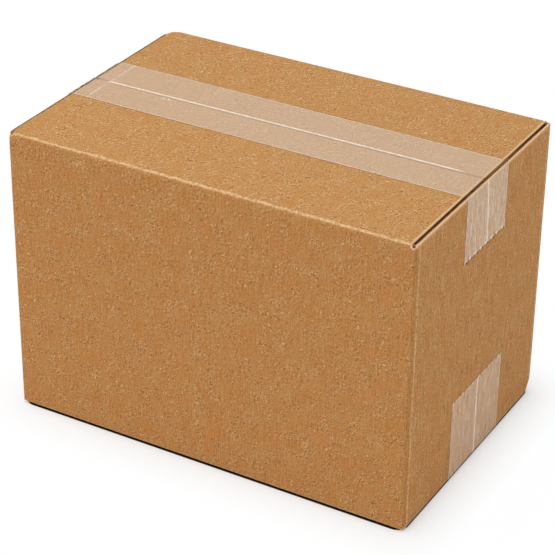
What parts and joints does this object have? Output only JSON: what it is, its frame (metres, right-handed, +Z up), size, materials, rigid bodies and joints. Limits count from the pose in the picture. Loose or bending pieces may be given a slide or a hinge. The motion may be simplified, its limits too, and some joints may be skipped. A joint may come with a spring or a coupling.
{
  "type": "closed cardboard box",
  "caption": "Closed slotted carton of corrugated board with its flaps folded shut and clear packing tape along the top and bottom seams and down both ends.",
  "frame": {"origin": "on the floor under the middle of the box, at the outer face of the bottom tape", "axes": "+X along the length to the right end wall of the picture, +Y across the width from the front long wall to the back one, +Z up"},
  "size_m": [0.2402, 0.16, 0.169],
  "materials": {
    "board": "matt natural kraft liner",
    "tape": "clear polypropylene film with its adhesive against the board"
  },
  "bodies": {
    "root": {"carton": "board", "top_tape": "tape", "bottom_tape": "tape"}
  },
  "joints": []
}
